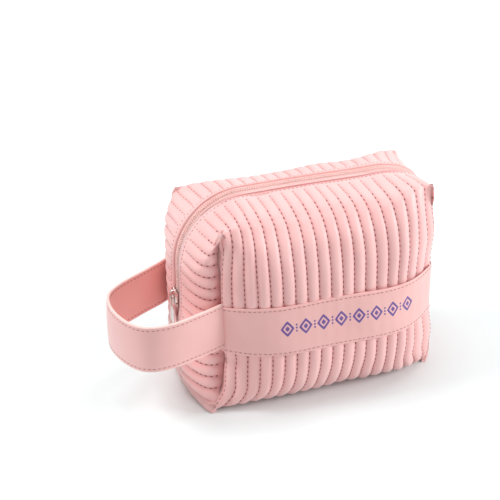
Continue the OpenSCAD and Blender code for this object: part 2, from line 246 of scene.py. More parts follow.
def unit(vectors):
    return vectors / np.maximum(np.linalg.norm(vectors, axis=-1, keepdims=True), 1e-9)


def normals_of(points, quads):
    a, b, c, d = (points[quads[:, i]] for i in range(4))
    n = np.cross(c - a, d - b)
    total = np.zeros_like(points)
    for i in range(4):
        np.add.at(total, quads[:, i], n)
    return unit(total)


def join(parts):
    """One mesh of several (points, faces)"""
    points, faces, start = [], [], 0
    for p, part_faces in parts:
        points.append(p)
        faces += [[i + start for i in face] for face in part_faces]
        start += len(p)
    return np.concatenate(points), faces


THREAD_AT = np.array([-0.5, -0.36, 0.0, 0.36, 0.5])  # rings of a stitch, in shares of its length
THREAD_THICK = np.array([0.45, 0.88, 1.0, 0.88, 0.45])
THREAD_SIDES = 6


def stitch_mesh(name, rows, material, slot_name, seed, pitch, length, width, lift, body="bag"):
    """Each row is a path and its surface normals; every stitch is a short bent capsule of thread"""
    rng = np.random.RandomState(seed)
    rings = len(THREAD_AT)
    turn = circle(THREAD_SIDES)[:, None]
    faces = tube_faces(rings, THREAD_SIDES)
    stitches = []
    for path, normal in rows:
        run = run_length(path)
        count = int(run[-1] // pitch)
        if count < 1:
            continue
        at = (np.arange(count) + 0.5) * run[-1] / count + rng.uniform(-0.18, 0.18, count)
        sizes = length * rng.uniform(0.92, 1.08, count)
        where = (at[:, None] + THREAD_AT * sizes[:, None]).clip(0, run[-1]).ravel()
        both = np.column_stack([path, normal])
        both = np.stack([np.interp(where, run, both[:, i]) for i in range(6)], -1)
        p, n = both[:, :3].reshape(count, rings, 3), both[:, 3:].reshape(count, rings, 3)
        along = unit(p[:, -1] - p[:, 0])[:, None]
        side = unit(np.cross(along, n))
        up = np.cross(side, along)
        p = p + up * (lift * (1 - 4 * THREAD_AT**2) - 0.12)[:, None]
        section = side[:, :, None] * np.cos(turn) + up[:, :, None] * np.sin(turn) * 0.8
        shape = p[:, :, None] + section * (THREAD_THICK * width / 2)[:, None, None]
        stitches += [(points, faces) for points in shape.reshape(count, -1, 3)]
    obj = make_mesh(name, *join(stitches), material, body)
    return obj


# ---------------------------------------------------------------- materials
def new_material(name):
    """A node material: itself, its node tree and its main shader"""
    material = bpy.data.materials.new(name)
    material.use_nodes = True
    tree = material.node_tree
    tree.nodes.clear()
    out = tree.nodes.new("ShaderNodeOutputMaterial")
    shader = tree.nodes.new("ShaderNodeBsdfPrincipled")
    tree.links.new(shader.outputs[0], out.inputs[0])
    return material, tree, shader


def feed(tree, node, inputs):
    """Links each socket given to an input, or sets the input to the plain value given"""
    for key, value in inputs.items():
        if isinstance(value, bpy.types.NodeSocket):
            tree.links.new(value, node.inputs[key])
        else:
            node.inputs[key].default_value = value


def add(tree, kind, inputs=None, **props):
    node = tree.nodes.new(kind)
    for key, value in props.items():
        setattr(node, key, value)
    feed(tree, node, inputs or {})
    return node


def maths(tree, operation, a, b=0.0):
    return add(tree, "ShaderNodeMath", {0: a, 1: b}, operation=operation).outputs[0]


def times(tree, a, b):
    return maths(tree, "MULTIPLY", a, b)


def plus(tree, a, b):
    return maths(tree, "ADD", a, b)


def object_place(tree):
    return add(tree, "ShaderNodeTexCoord").outputs["Object"]


def noise(tree, place, scale, detail, **inputs):
    inputs = {"Vector": place, "Scale": scale, "Detail": detail, **inputs}
    return add(tree, "ShaderNodeTexNoise", inputs).outputs[0]


def wave(tree, place, scale, distortion, direction, **inputs):
    inputs = {"Vector": place, "Scale": scale, "Distortion": distortion, **inputs}
    return add(tree, "ShaderNodeTexWave", inputs, bands_direction=direction).outputs[1]


def spread(tree, source, low, high):
    """Black up to low, white from high on"""
    node = add(tree, "ShaderNodeValToRGB", {0: source})
    for stop, at in zip(node.color_ramp.elements, (low, high)):
        stop.position = at
    return node.outputs[0]


def blend_colour(tree, share, first, second):
    """Mixes two colours, each a socket or three plain values"""
    first, second = (c if isinstance(c, bpy.types.NodeSocket) else (*c, 1) for c in (first, second))
    return add(tree, "ShaderNodeMix", {0: share, 6: first, 7: second}, data_type="RGBA").outputs[2]


def bump(tree, height, strength, distance):
    inputs = {"Height": height, "Strength": strength, "Distance": distance}
    return add(tree, "ShaderNodeBump", inputs).outputs[0]


def leathercloth(name, colour, dark, grain=1.0, rough=0.42, crease_shade=False):
    """Coated cloth: a fine pebble grain over slow colour changes; on request its creases get painted shade
    and are matter
    """
    material, tree, shader = new_material(name)
    place = object_place(tree)
    slow = spread(tree, noise(tree, place, 22.0, 3.0), 0.3, 0.7)
    fine = noise(tree, place, 900.0, 4.0, Roughness=0.6)
    cells = {"Vector": place, "Scale": 1500.0}
    pebble = add(tree, "ShaderNodeTexVoronoi", cells, feature="SMOOTH_F1").outputs[0]
    body = blend_colour(tree, slow, colour, [mix(a, b, 0.16) for a, b in zip(colour, dark)])
    body = blend_colour(tree, times(tree, fine, 0.10), body, dark)
    roughness = plus(tree, times(tree, fine, 0.16), rough - 0.08)
    if crease_shade:
        # painted shade: a per-point mask darkens the colour in the quilting valleys, the seam dips and the
        # zip groove, where shade falls
        valley_shade_mask = add(tree, "ShaderNodeAttribute", attribute_name="crease_shade").outputs["Fac"]
        painted_valley_shade = maths(tree, "POWER", valley_shade_mask, 1.5)
        body = blend_colour(tree, times(tree, painted_valley_shade, 0.62), body, dark)
        roughness = plus(tree, roughness, times(tree, painted_valley_shade, 0.15))
    height = plus(tree, times(tree, pebble, 0.7), times(tree, fine, 0.6))
    looks = {
        "Base Color": body,
        "Roughness": roughness,
        "Normal": bump(tree, height, 0.35 * grain, 0.00022),
        "Specular IOR Level": 0.42,
        "Sheen Weight": 0.3,
        "Sheen Roughness": 0.5,
        "Subsurface Weight": 0.12,
        "Subsurface Radius": (1.0, 0.45, 0.4),
        "Subsurface Scale": 0.0015,
    }
    feed(tree, shader, looks)
    return material


def woven(name, colour, dark, scale=900.0, strength=0.5, rough=0.75):
    """Plain weave from two crossed wave patterns, with uneven yarns"""
    material, tree, shader = new_material(name)
    place = object_place(tree)
    warp, weft = (wave(tree, place, scale, 0.6, direction, Detail=1.0) for direction in "ZY")
    slub = noise(tree, place, 240.0, 3.0)
    height = plus(tree, times(tree, warp, weft), times(tree, slub, 0.4))
    looks = {
        "Base Color": blend_colour(tree, height, dark, colour),
        "Roughness": plus(tree, times(tree, slub, 0.2), rough - 0.1),
        "Normal": bump(tree, height, strength, 0.0002),
        "Sheen Weight": 0.3,
    }
    feed(tree, shader, looks)
    return material


def thread(name, colour, dark):
    """Twisted sewing thread"""
    material, tree, shader = new_material(name)
    twist = wave(tree, object_place(tree), 1400.0, 2.0, "DIAGONAL")
    looks = {
        "Base Color": blend_colour(tree, twist, dark, colour),
        "Roughness": 0.6,
        "Normal": bump(tree, twist, 0.5, 0.0001),
        "Sheen Weight": 0.2,
    }
    feed(tree, shader, looks)
    return material


def plated(name, colour, rough=0.18):
    """Polished die-cast metal with fine scratches and slightly duller patches"""
    material, tree, shader = new_material(name)
    place = object_place(tree)
    stretch = {"Vector": place, "Scale": (300.0, 300.0, 3000.0)}
    scratch = noise(tree, add(tree, "ShaderNodeMapping", stretch).outputs[0], 1.0, 4.0)
    patch = noise(tree, place, 180.0, 2.0)
    dull = plus(tree, times(tree, patch, 0.1), rough - 0.08)
    looks = {
        "Base Color": blend_colour(tree, patch, colour, [v * 0.82 for v in colour]),
        "Roughness": plus(tree, times(tree, scratch, 0.14), dull),
        "Normal": bump(tree, scratch, 0.08, 0.0001),
        "Metallic": 1.0,
    }
    feed(tree, shader, looks)
    return material


# each cloth: its colour, and the colour of its darker parts; the quilted cloth's darker colour is also its
# painted shade in the creases
PINK = (0.945, 0.57, 0.555), (0.70, 0.235, 0.235)
BAND_PINK = (0.91, 0.52, 0.50), (0.62, 0.25, 0.24)
# painted shade: the strap's inner side is the outer pink, made darker and deeper as if in shadow
SHADED_STRAP_PINK = (0.99, 0.50, 0.46), (0.74, 0.26, 0.23)
EDGE_PINK = (0.95, 0.66, 0.62), (0.75, 0.40, 0.38)
TAPE_PINK = (0.93, 0.60, 0.56), (0.66, 0.31, 0.29)
LINING_PINK = (0.88, 0.50, 0.48), (0.60, 0.28, 0.27)
OFF_WHITE = (0.92, 0.90, 0.86), (0.75, 0.72, 0.68)
BINDING_PINK = (0.84, 0.46, 0.44), (0.55, 0.24, 0.23)
COIL_PINK = (0.95, 0.64, 0.60), (0.70, 0.34, 0.32)
# one quilting thread in two colours: darker on the lower rows, as painted shade, paler on the lit rows near
# the zip, as painted light
SHADED_THREAD_RED = (0.38, 0.10, 0.105), (0.19, 0.04, 0.045)
LIT_THREAD_RED = (0.62, 0.27, 0.26), (0.40, 0.14, 0.13)
ROSE = (0.60, 0.23, 0.23), (0.40, 0.13, 0.13)
VIOLET = (0.175, 0.085, 0.32), (0.11, 0.05, 0.25)

# painted shade in the quilted cloth's creases, from a per-point mask
quilt_cloth = leathercloth("quilted_leathercloth", *PINK, crease_shade=True)
band_cloth = leathercloth("band_leathercloth", *BAND_PINK, grain=0.7, rough=0.40)
strap_inner_shaded = leathercloth("strap_inner_leathercloth", *SHADED_STRAP_PINK, grain=0.8, rough=0.48)
strap_rim = leathercloth("strap_edge_paint", *EDGE_PINK, grain=0.4, rough=0.35)
tape_cloth = woven("zip_tape_weave", *TAPE_PINK, scale=700.0)
lining_cloth = woven("lining_weave", *LINING_PINK, scale=600.0)
wadding_fibre = woven("wadding_fibre", *OFF_WHITE, scale=260.0, strength=0.8, rough=0.9)
binding_cloth = woven("binding_weave", *BINDING_PINK, scale=500.0)
coil_nylon = leathercloth("coil_nylon", *COIL_PINK, grain=0.3, rough=0.35)
# lit and shaded copies of one thread: painted shade for the lower rows, painted light for the rows near the
# zip
shaded_thread_copy = thread("quilting_thread", *SHADED_THREAD_RED)
lit_thread_copy = thread("fine_lit_quilting_thread", *LIT_THREAD_RED)
band_thread = thread("band_thread", *ROSE)
zip_metal = plated("zip_metal", (0.80, 0.70, 0.67))
print_ink = leathercloth("print_ink", *VIOLET, grain=0.5, rough=0.4)


# ---------------------------------------------------------------- quilted halves
LIP = [(8.4, 3.3), (6.6, 3.0), (5.6, 2.1), (5.4, 0.8)]  # distance from the zip, depth
LIP_ROWS, TOP_ROWS, FACE_ROWS, BASE_ROWS = len(LIP), 26, 52, 14
FACE_START = LIP_ROWS + TOP_ROWS
FACE_END = FACE_START + FACE_ROWS
BASE_Y = [HALF_D * (1 - k / BASE_ROWS) + 0.2 for k in range(1, BASE_ROWS + 1)]
FAR = 60.0  # stands for a lip or a seam that is out of reach
# rounding of the edge above the front, above the back and along the foot: times, reach in rows
FRONT_SHOULDER, BACK_SHOULDER, FOOT_EDGE = (36, 15), (14, 9), (6, 4)
LATER = 6  # rows by which the right seam's dip starts below the left one's
BAND_Z, BAND_W = 74.0, 42.0
THREAD_PITCH = 4.3

# where the soft corners stand away from the plain outline: centre, reach and shift
SHIFTS = (
    ((96, -42, 162), 28, (3.0, 1.0, 7.0)),  # front right top corner
    ((98, 0, 156), 34, (4.0, 0, 3.5)),  # the zip between the two right corners
    ((97, 48, 160), 30, (8.5, 0, 4.0)),  # back right top corner
    ((96, -50, 30), 20, (5.0, 0, 0)),  # front right edge above the foot
    ((101, -48, 2), 12, (-3.5, 3.0, 0)),  # front right tip of the base
    ((-97, -50, 152), 24, (4.5, 0, 0)),  # front left top corner
    ((-92, -50, 100), 22, (-2.0, 0, 0)),  # front left edge, half way up
    ((-96, 48, 158), 26, (-2.5, 0, 1.0)),  # back left top corner
    ((-99.5, -48, 0), 24, (-1.0, -6.0, 0)),  # front left tip of the base
)


def hump(distance, reach):
    """1 at distance 0, falling smoothly to almost nothing at twice the reach"""
    return np.exp(-((distance / reach) ** 2))


def settle(points):
    """The way the soft bag stands: corners, the front's right edge and the left foot"""
    moved = points.copy()
    x, y, z = points.T
    # at the front's right top corner the end lies flat behind the seam
    flat = hump(np.hypot(y + 42, z - 154), 20)
    moved[:, 0] -= 0.9 * flat * (x - 93).clip(0)
    for centre, reach, shift in SHIFTS:
        moved += hump(np.linalg.norm(points - centre, axis=1), reach)[:, None] * shift
    # the front's right edge rolls round to the end, and the left end rests on a fuller foot
    roll = hump(np.hypot(x - 93, y + 48), 17) * smooth((z + 6) / 24)
    moved[:, 0] += 8.0 * roll * (1 - smooth((z - 115) / 34))
    moved[:, 1] += 9.0 * roll
    foot = hump(z - 12, 32) * (1 - (y / 62) ** 2).clip(0) * smooth((-x - 82) / 16)
    moved[:, 0] -= 9.0 * foot
    return moved


def rim_at(z):
    """Distance of the panel's edge from the middle plane: the edges meet below the zip"""
    return mix(0.25, LIP_Y, clamp((z - 62) / 12))


def end_rows(z_at_zip):
    """Distances from the middle plane, from the panel's edge to the upright seam"""
    first = np.degrees(np.arcsin(clamp(rim_at(z_at_zip) / HALF_D) ** (END_POWER / 2)))
    t = np.linspace(first, 90, TOP_ROWS)
    return HALF_D * np.sin(np.radians(t)) ** (2 / END_POWER)


def rib_height(phase):
    """Height over one channel: a rounded pad between sharp valleys"""
    return (1 - (2 * (phase % 1) - 1) ** 2) ** 0.85


def stem_columns():
    """The front's columns, eight to a channel: place in channels, and share of the width"""
    left, right = [-1.04, -1.0, -0.95], [LINES - 0.08, LINES - 0.04]
    phase = np.concatenate([left, np.arange(-7, LINES * 8) / 8, right])
    f = (phase * RIB + FIRST_LINE) / STEM
    f[0], f[-1] = 0.0, 1.0
    return phase, f


def wing_lines(end):
    """Distances down an end panel, eight to a channel, and the first channel's shift"""
    shift = 0.4 if end < 0 else -0.4
    lines = np.arange(0, 8 * 16) * RIB / 8 - shift
    lines = lines[(lines > 0.2) & (lines < WING - 0.4)]
    return np.concatenate([[0.0], lines, [WING - 0.9, WING]]), shift


def lip_distance(rows):
    """Distance of each point from the panel's edge, over rows that start at the lip"""
    far = np.zeros(rows.shape[:2])
    far[LIP_ROWS + 1 :] = np.cumsum(np.linalg.norm(np.diff(rows[LIP_ROWS:], axis=0), axis=2), axis=0)
    return far


class Patch:
    """A grid of points of one half, and what shapes its padding at each of them"""

    def __init__(self, grid, rib, show, from_lip, dip, group=0.0):
        self.grid = grid
        self.shape = grid.shape[:2]
        values = (rib, show, from_lip, dip, group)  # patches are welded where their groups agree
        self.values = [np.array(np.broadcast_to(v, self.shape), float) for v in values]

    def hem(self, pick, inward, group):
        """Seam allowance turned in behind the edge that pick names"""
        edge, inward = self.grid[pick], np.array(inward)
        grid = np.stack([edge, edge + inward * 0.25, edge + inward], 1)
        return Patch(grid, *(v[pick][:, None] for v in self.values[:4]), group)


def round_edge(rows, centre, times, reach, share):
    """Smooths the rows near one edge of the stem, each time by the share given"""
    near = slice(centre - reach, centre + reach + 1)
    for _ in range(times):
        piece = rows[near]
        moved = piece.copy()
        moved[1:-1] = 0.5 * piece[1:-1] + 0.25 * (piece[:-2] + piece[2:])
        rows[near] = mix(piece, moved, share)


def stem_points(side, f):
    """Rows of the stem: in at the lip, over the top, down the face and in under the base"""
    px = share_x(f)
    rows = []
    for y, depth in LIP + [(y, 0.0) for y in end_rows(HEIGHT)]:
        c = float(swell(y))
        x, z = on_ring(c, mix(-stem_end(c, -1), stem_end(c, 1), f), depth)
        rows.append(np.stack([x, np.full(len(f), -y), z], -1))
    top_x, _, top_z = rows[-1].T
    for k in range(1, FACE_ROWS + 1):
        g = (k / FACE_ROWS) ** 0.94
        z = mix(top_z, 0.0, g)
        x = mix(top_x, px * edge_x(z), smooth(g / 0.22))
        x[0], x[-1] = -edge_x(z[0]), edge_x(z[-1])
        rows.append(np.stack([x, -face_depth(x, z), z], -1))
    for y in BASE_Y:
        half = base_half(float(swell(y))) - 1.2
        rows.append(np.stack([px * half, np.full(len(f), -y), np.zeros(len(f))], -1))
    rows = np.stack(rows)
    # the edges are rounded, but not at the seams
    keep = smooth(np.minimum(f, 1 - f) * STEM / 9.0)[:, None]
    round_edge(rows, FACE_START - 1, *(FRONT_SHOULDER if side < 0 else BACK_SHOULDER), keep)
    round_edge(rows, FACE_END - 1, *FOOT_EDGE, mix(0.35, 1.0, keep))
    rows[..., 2] = np.maximum(rows[..., 2], 0)
    return rows


def stem_patch(side):
    """The stem, and the hems of its two upright seams"""
    phase, f = stem_columns()
    grid = stem_points(side, f)
    from_lip = np.full(grid.shape[:2], FAR)
    from_lip[:FACE_START] = lip_distance(grid[:FACE_START])
    to_seam = np.tile(np.minimum(f, 1 - f) * STEM, (len(grid), 1))
    to_seam[:FACE_START] = FAR
    # the dip of the seam starts at the top corners, a little lower at the right one
    down = (np.arange(len(grid)) - FACE_START + 1)[:, None] - np.where(f > 0.5, LATER, 0)
    held = smooth(down / 6.0) * mix(1.0, 0.4, smooth((down - FACE_ROWS + 7) / 6.0))
    dip = -2.6 * hump(to_seam, 1.5) * held
    show = smooth((from_lip - LIP_STITCH) / 9.0)
    show[FACE_END:] = 0.35
    rib = mix(rib_height(phase), 0.8, smooth(1 - to_seam / 3.0) * held)
    stem = Patch(grid, rib, show, from_lip, dip)
    rows = slice(FACE_START - 1, FACE_END)
    return stem, [stem.hem((rows, 0), (1.4, 5.0, 0.0), 0), stem.hem((rows, -1), (-1.4, 5.0, 0.0), 0)]


def wing_point(end, down, y, inset=0.0):
    """A point at distance down from an end panel's top corner and y from the middle plane"""
    c = float(swell(y))
    foot, start = ring(round(c, 4))[0][-1], stem_end(c, end)
    x, z = on_ring(c, end * (start + down / WING * (foot - start)), inset)
    return float(x), -y, float(z)


def wing_patch(end):
    """An end panel, from its top corner down to its foot, and its two hems"""
    w, shift = wing_lines(end)
    grid = np.zeros((len(w), FACE_START, 3))
    for a, down in enumerate(w):
        z_zip = wing_point(end, down, 0.0)[2]
        lip = [(max(y - LIP_Y + rim_at(z_zip), 0.2), depth) for y, depth in LIP]
        for b, (y, depth) in enumerate(lip + [(float(y), 0.0) for y in end_rows(z_zip)]):
            grid[a, b] = wing_point(end, down, y, depth)
    from_lip = lip_distance(grid.swapaxes(0, 1)).T
    to_seam = from_lip[:, -1:] - from_lip
    to_seam[:, :LIP_ROWS] = FAR
    fades = smooth(w / 16.0) * smooth((WING - w) / 14.0)
    dip = -3.0 * np.exp(-((to_seam / 5.5) ** 1.4)) * fades[:, None] - 0.9 * hump(WING - w, 1.5)[:, None]
    show = smooth((from_lip - LIP_STITCH) / 6.0) * mix(0.3, 1.0, smooth(from_lip / 34.0))
    show *= 1 - 0.3 * hump(w, 26.0)[:, None]
    pulled = 0.5 * hump(to_seam, 4.0) if end < 0 else hump(to_seam, 15.0)
    rib = mix(rib_height((w + shift) / RIB)[:, None], 0.6, pulled)
    group = np.zeros(grid.shape[:2])
    group[1:, -1] = 1
    group[-1] = 1
    wing = Patch(grid, rib, show, from_lip, dip, group)
    side_hem = wing.hem((slice(None), -1), (-5.0 * end, 0.9, 0.0), group[:, -1:])
    return wing, [side_hem, wing.hem((-1, slice(None)), (-5.0 * end, 0.0, 0.6), 1)]


def foot_patch(end):
    """The strip along the foot of an end, joined to the base rows, and its two hems"""
    zs = np.array([BOX_SEAM, 6.6, 5.0, 3.2, 1.6, 0.5, 0.0])
    columns = []
    for y in [HALF_D] + BASE_Y:
        c = float(swell(y))
        x = mix(side_x(zs, c), base_half(c), smooth((BOX_SEAM - zs) / 4.0)) - slack(zs, c) * (end > 0)
        if y < HALF_D:
            x -= 1.2 * clamp(1 - zs / 2.5) ** 2
        columns.append(np.stack([end * x, np.full(len(zs), -y), zs], -1))
    grid = np.stack(columns, 1)
    group = np.full(grid.shape[:2], 2.0)
    group[-1] = 0
    foot = Patch(grid, 0.8, 0.3, FAR, -0.9 * hump(BOX_SEAM - zs, 1.4)[:, None], group)
    side_hem = foot.hem((slice(None), 0), (-5.0 * end, 0.9, 0.0), group[:, :1])
    return foot, [side_hem, foot.hem((0, slice(None)), (-5.0 * end, 0.0, -0.6), 2)]


def weld(patches):
    """One mesh of all patches: its points, their values, its faces and each patch's point numbers"""
    points = np.concatenate([p.grid.reshape(-1, 3) for p in patches])
    *values, group = (np.concatenate([p.values[i].ravel() for p in patches]) for i in range(5))
    centre = np.array([0, -HALF_D / 2, 80.0])
    quads, start = [], 0
    for patch in patches:
        q = grid_faces(*patch.shape, start)
        n = np.cross(points[q[:, 2]] - points[q[:, 0]], points[q[:, 3]] - points[q[:, 1]])
        outward = (n * (points[q].mean(1) - centre)).sum() >= 0
        quads.append(q if outward else q[:, ::-1])
        start += patch.shape[0] * patch.shape[1]
    key = np.column_stack([np.round(points / 0.02), group]).astype(np.int64)
    _, first, number = np.unique(key, axis=0, return_index=True, return_inverse=True)
    number = number.ravel()
    values = [np.bincount(number, v) / np.bincount(number) for v in values]
    numbers, start = [], 0
    for rows, cols in (p.shape for p in patches):
        numbers.append(number[start : start + rows * cols].reshape(rows, cols))
        start += rows * cols
    return points[first], values, number[np.concatenate(quads)], numbers


def pad_out(side, seed, points, normal, values):
    """The points moved out by padding and wrinkles and in by seams and sag, and how much painted shade their
    creases get
    """
    rib, show, from_lip, dip = values
    x, y, z = points.T
    front = side < 0
    middle = smooth((z - 140) / 18) * (1 - (abs(x) / 99) ** 4).clip(0)
    fall = smooth((-y - 2) / 14) * mix(1.0, 0.6, smooth((-y - 44) / 5))
    sag = (-3.4 if front else -2.6) * middle * fall
    lip_drop = (-0.7 if front else 0.5) * hump(from_lip, 7.0) * smooth((z - 60) / 20)
    # the left seam is drawn in beside the band's lower edge
    tuck = -3.2 * hump(x + 85.5, 4.2) * hump(z - 44.5, 4.5) * (y < -HALF_D)
    groove = -0.25 * hump(from_lip - LIP_STITCH, 0.9) * (from_lip < 50)
    uneven = 0.9 * waves(points, 85, seed) + 0.35 * waves(points, 34, seed + 1)
    on_base = smooth((6 - z) / 4) * smooth((HALF_D + 6 + y) / 6)
    height = mix(2.3, 1.5 if front else 0.9, smooth((z - 120) / 40))
    height = height * (1 + 0.10 * waves(points, 40, seed + 2))
    # the band presses the quilting flat
    pressed = smooth((BAND_W / 2 + 2 - abs(z - BAND_Z)) / 4) * (y < -HALF_D + 0.5)
    height = height * (1 - 0.42 * pressed)
    pads = show * (rib * height) + mix(-0.45 * smooth(from_lip / 3.0), -1.25, show)
    move = pads + dip + sag + lip_drop + tuck + groove + uneven * (1 - on_base) * smooth(from_lip / 8.0)
    move = mix(move, np.minimum(pads * 0.4 + dip - 0.3, 0), on_base)
    # painted shade mask: the valleys between pads, the seam dips and the groove by the zip
    crease_shade = clamp((1 - rib) ** 1.3 * show + 0.8 * clamp(-dip / 3) + 0.3 * clamp(-groove / 0.25))
    return points + normal * move[:, None], crease_shade


def quilting_rows(side, from_lip, numbers):
    """Point numbers along the quilting lines: the fine stretches near the zip, sewn with the thread that
    carries painted light, and the deep ones, sewn with the thread that carries painted shade
    """
    phase, _ = stem_columns()
    lines = []
    for k in range(-1, LINES):
        column = int(np.argmin(abs(phase - k)))
        last = FACE_START - 1 if k == -1 else FACE_END + 2
        lines.append(numbers[0][LIP_ROWS:last, column])
    for end, wing in zip((-1, 1), numbers[1:3]):
        w, shift = wing_lines(end)
        for down, row in zip(w, wing):
            channel = (down + shift) / RIB
            on_line = abs(channel - round(channel)) < 1e-3 and round(channel) >= 1
            if on_line and down < WING - 4:
                lines.append(row[LIP_ROWS:])
    fine_until = 26 if side < 0 else 59
    lines = [ids[from_lip[ids] > LIP_STITCH + 0.8] for ids in lines]
    fine = [ids[from_lip[ids] < fine_until] for ids in lines]
    deep = [ids[from_lip[ids] >= fine_until] for ids in lines]
    return [[ids for ids in rows if len(ids) > 2] for rows in (fine, deep)]


def zip_row(points, normal, from_lip, numbers):
    """The stitch row along the zip, at a fixed distance from the panel's edge"""
    row = []
    for grid in (numbers[1][::-1], numbers[0].T, numbers[2]):
        for ids in grid[:, LIP_ROWS:FACE_START]:
            if points[ids[0], 2] < 66:
                continue
            both = np.column_stack([points[ids], normal[ids]])
            row.append([np.interp(LIP_STITCH, from_lip[ids], both[:, i]) for i in range(6)])
    row = np.array(row)
    return row[:, :3], row[:, 3:]


def stitch_half(side, which, seed, points, normal, from_lip, numbers):
    """All sewing thread on one half"""
    cloth = "quilted_leathercloth"
    fine, deep = quilting_rows(side, from_lip, numbers)
    # the deep rows get the thread painted as shaded, the fine rows near the zip the thread painted as lit
    rows = [(points[ids], normal[ids]) for ids in deep]
    stitch_mesh(which + "_quilting", rows, shaded_thread_copy, cloth, seed, THREAD_PITCH, 2.0, 1.35, 0.35)
    rows = [(points[ids], normal[ids]) for ids in fine]
    stitch_mesh(which + "_fine_lit_quilting", rows, lit_thread_copy, cloth, seed + 3, THREAD_PITCH, 1.9, 1.0, 0.2)
    rows = [zip_row(points, normal, from_lip, numbers)]
    stitch_mesh(which + "_zip_stitching", rows, band_thread, cloth, seed + 5, 3.6, 2.2, 0.7, 0.2)
    beside = [numbers[0][FACE_START + 3 : FACE_END - 1, column] for column in (4, -5)]
    rows = [(points[ids], normal[ids]) for ids in beside]
    stitch_mesh(which + "_seam_stitching", rows, band_thread, cloth, seed + 6, 4.0, 2.6, 0.7, 0.2)


def build_half(side, which, seed):
    """The quilted half at y < 0 (side -1) or y > 0 (side 1), with its stitch rows"""
    made = [stem_patch(side), wing_patch(-1), wing_patch(1), foot_patch(-1), foot_patch(1)]
    hems = [hem for _, patch_hems in made for hem in patch_hems]
    points, values, quads, numbers = weld([patch for patch, _ in made] + hems)
    points, crease_shade = pad_out(side, seed, points, normals_of(points, quads), values)
    if side > 0:
        points[:, 1] *= -1
        quads = quads[:, ::-1]
    points = settle(points)
    points[:, 2] = np.maximum(points[:, 2], 0.0)
    # the painted shade mask rides on the mesh as a point attribute
    obj = make_mesh(which + "_quilt", points, quads, quilt_cloth, attributes={"crease_shade": crease_shade})
    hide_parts(which + "_panel")
    stitch_half(side, which, seed, points, normals_of(points, quads), values[2], numbers)


for (half_side, half_name), half_seed in zip(HALVES, (11, 47)):
    build_half(half_side, half_name, half_seed)


# ---------------------------------------------------------------- inner layers: wadding, lining, bindings
def inner_shell(side, inset, material, name, node):
    """A soft inner layer, offset from the outer shape, open along the zip"""
    cols, face_rows, floor_rows, floor_cols = 120, 14, 10, 60
    rows = []
    for y in np.linspace(13, HALF_D - inset, 12):
        c = float(swell(y * HALF_D / (HALF_D - inset)))
        far = ring(round(c, 4), inset)[0][-1]
        x, z = on_ring(c, np.linspace(-far, far, cols), inset)
        rows.append(np.stack([x, np.full(cols, -y), z], -1))
    rim_x, _, rim_z = rows[-1].T
    for k in range(1, face_rows + 1):
        g = (k / face_rows) ** 1.2
        x, z = mix(rim_x, 0.0, g), mix(rim_z, FACE_MID, g)
        rows.append(np.stack([x, -(face_depth(x, z) - inset * 1.15), z], -1))
    points = np.concatenate(rows)
    points = points + 0.25 * waves(points, 24, 5)[:, None] * np.array([0.3, 1.0, 0.3])
    points[:, 2] -= 3.0 * smooth((points[:, 2] - 130) / 25)
    floor_start = len(points)
    floor = []
    for y in np.linspace(HALF_D - inset, 0.6, floor_rows):
        half = base_half(float(swell(y))) - inset
        xs = np.linspace(-half, half, floor_cols)
        turn_up = 12.0 * clamp(abs(xs) / half - 0.93)
        floor.append(np.stack([xs, np.full(floor_cols, -y), inset + 0.2 + turn_up], -1))
    points = np.concatenate([points, *floor])
    quads = [grid_faces(len(rows), cols), grid_faces(floor_rows, floor_cols, floor_start)]
    if side > 0:
        points[:, 1] *= -1
    obj = make_mesh(name, settle(points), np.concatenate(quads), material)
    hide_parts(node)


for half_side, half_name in HALVES:
    wadding, lining = half_name + "_wadding", half_name + "_lining"
    inner_shell(half_side, 6.8, wadding_fibre, wadding + "_layer", wadding)
    inner_shell(half_side, 8.0, lining_cloth, lining + "_layer", lining)


def slab(outline, layers):
    """Closed solid from a flat outline: layers are (inset, height) rings from the bottom to the top"""
    outline = np.asarray(outline, float)
    along = unit(np.roll(outline, -1, 0) - np.roll(outline, 1, 0))
    inward = np.stack([-along[:, 1], along[:, 0]], -1)
    rings = [np.column_stack([outline + inward * inset, np.full(len(outline), h)]) for inset, h in layers]
    return np.concatenate(rings), tube_faces(len(layers), len(outline))


def rounded(w, h, r, n=6):
    """Outline of a rounded rectangle, anticlockwise"""
    corners = []
    for k, (sx, sy) in enumerate(((1, 1), (-1, 1), (-1, -1), (1, -1))):
        a = np.radians(np.linspace(0, 90, n) + 90 * k)
        x, y = sx * (w / 2 - r) + r * np.cos(a), sy * (h / 2 - r) + r * np.sin(a)
        corners.append(np.stack([x, y], -1))
    return np.concatenate(corners)


def pillow(thickness, edge=0.3):
    """Rings of a plate with rounded edges, its bottom at 0"""
    k = edge * (1 - math.sqrt(0.5))
    return [(edge, 0.0), (k, k), (0.0, edge), (0.0, thickness - edge), (k, thickness - k), (edge, thickness)]


def turned(part, matrix, shift):
    points, faces = part
    return points @ np.asarray(matrix, float).T + np.asarray(shift, float), faces


# turns of a plate: its outline's two axes and its height, as the columns
UPRIGHT = [[0, 0, -1], [1, 0, 0], [0, 1, 0]]  # outline across and up, height to the left
FACING_BACK = [[1, 0, 0], [0, 0, 1], [0, 1, 0]]  # outline across and up, height to the back
LEVEL = np.eye(3)
BINDING_W, BINDING_T = 7.0, 1.2


